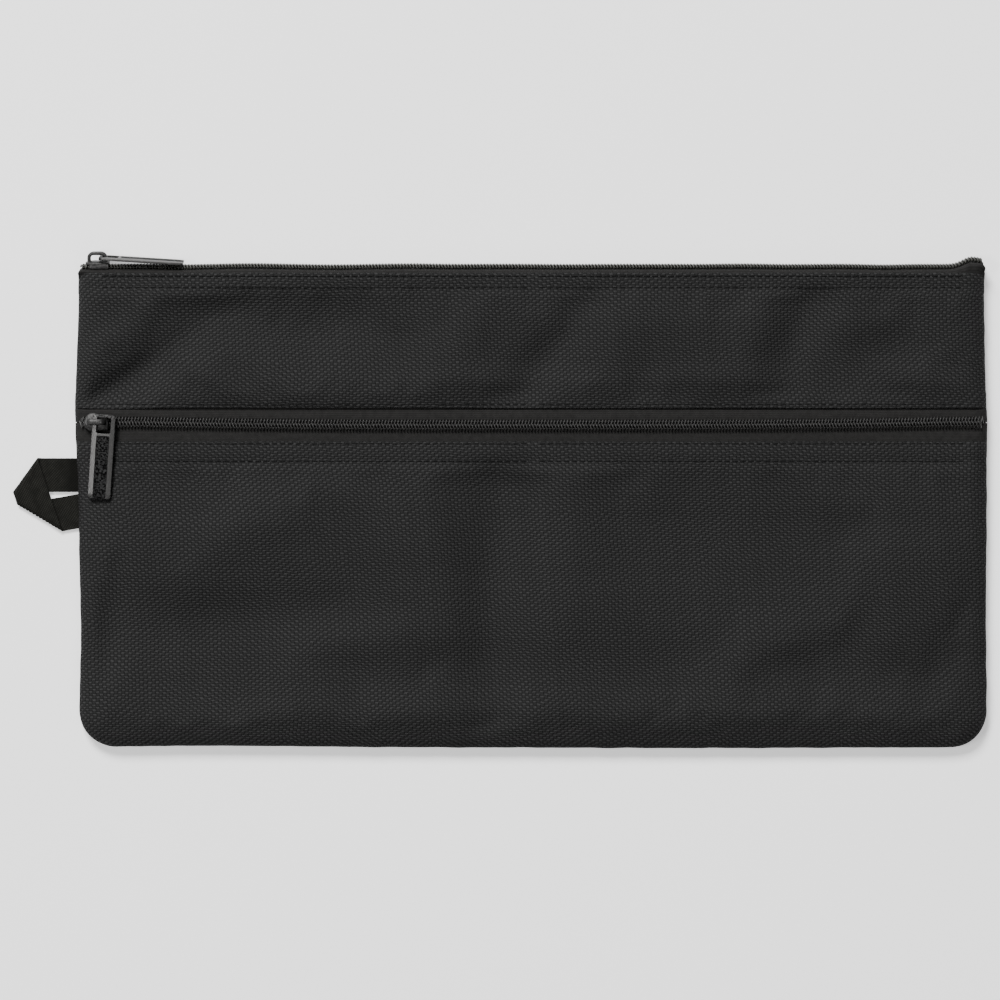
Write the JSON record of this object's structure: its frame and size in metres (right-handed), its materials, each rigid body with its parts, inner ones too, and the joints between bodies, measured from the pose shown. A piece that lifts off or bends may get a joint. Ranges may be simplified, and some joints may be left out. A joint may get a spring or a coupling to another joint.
{
  "type": "pencil case",
  "caption": "Flat rectangular fabric pencil case with a zipped mouth along the top, a zipped pocket on the front and a folded webbing loop at one side.",
  "frame": {"origin": "outer face of the back panel, in the middle of the case between its side seams and between its bottom seam and top ridge", "axes": "+X along the zips from the closed end to the open end, +Y towards the top zip, +Z out of the front face"},
  "size_m": [0.3644, 0.1859, 0.0149],
  "materials": {
    "canvas": "black heavy plain weave with a slight sheen",
    "lining": "thin black lining cloth",
    "binding": "black binding tape",
    "zip_tape": "black knitted zip tape",
    "zip_coil": "black nylon coil",
    "zip_metal": "black nickel plated die-cast zinc, worn lighter on its edges",
    "webbing": "black woven webbing",
    "thread": "black polyester thread"
  },
  "bodies": {
    "case": {"back_panel": "canvas", "pocket_lining": "lining", "seam_binding": "binding", "top_zip_back_tape": "zip_tape", "top_zip_back_coil": "zip_coil", "top_zip_back_stitching": "thread", "front_zip_upper_tape": "zip_tape", "front_zip_upper_coil": "zip_coil"},
    "mouth_flap": {"front_upper_panel": "canvas", "top_zip_front_tape": "zip_tape", "top_zip_front_coil": "zip_coil", "top_zip_front_stitching": "thread", "front_zip_upper_stitching": "thread"},
    "pocket_flap": {"front_lower_panel": "canvas", "front_zip_lower_tape": "zip_tape", "front_zip_lower_coil": "zip_coil", "front_zip_lower_stitching": "thread"},
    "top_slider": {"top_zip_slider": "zip_metal"},
    "top_pull": {"top_zip_pull": "zip_metal"},
    "front_slider": {"front_zip_slider": "zip_metal"},
    "front_pull": {"front_zip_pull": "zip_metal"},
    "loop": {"webbing_loop": "webbing"}
  },
  "joints": [
    {"name": "mouth_opening", "type": "hinge", "parent": "case", "child": "mouth_flap", "pos_m": [0, 0.0364, 0.0085], "axis": [1, 0, 0], "range_deg": [0, 30], "deforming": ["top_zip_front_tape", "top_zip_front_coil"]},
    {"name": "pocket_opening", "type": "hinge", "parent": "case", "child": "pocket_flap", "pos_m": [0, -0.0905, 0.0033], "axis": [1, 0, 0], "range_deg": [0, 6], "deforming": ["front_zip_lower_tape", "front_zip_lower_coil", "front_lower_panel", "front_zip_lower_stitching"]},
    {"name": "top_zip_travel", "type": "slide", "parent": "case", "child": "top_slider", "axis": [1, 0, 0], "range_m": [0, 0.314]},
    {"name": "top_pull_flip", "type": "hinge", "parent": "top_slider", "child": "top_pull", "pos_m": [-0.16165, 0.09289, 0.00602], "axis": [0, -0.2079, 0.9781], "range_deg": [0, 150]},
    {"name": "front_zip_travel", "type": "slide", "parent": "case", "child": "front_slider", "axis": [1, 0, 0], "range_m": [0, 0.322]},
    {"name": "front_pull_swivel", "type": "hinge", "parent": "front_slider", "child": "front_pull", "pos_m": [-0.15985, 0.0312, 0.0122], "axis": [0, 0, 1], "range_deg": [-12, 94]},
    {"name": "loop_swing", "type": "hinge", "parent": "case", "child": "loop", "pos_m": [-0.1701, 0.0045, 0.0015], "axis": [0, 1, 0], "range_deg": [0, 75]}
  ],
  "couplings": [
    {"joint": "top_zip_travel", "follows": "mouth_opening", "m_per_rad": 0.599},
    {"joint": "front_zip_travel", "follows": "pocket_opening", "m_per_rad": 3.07}
  ]
}
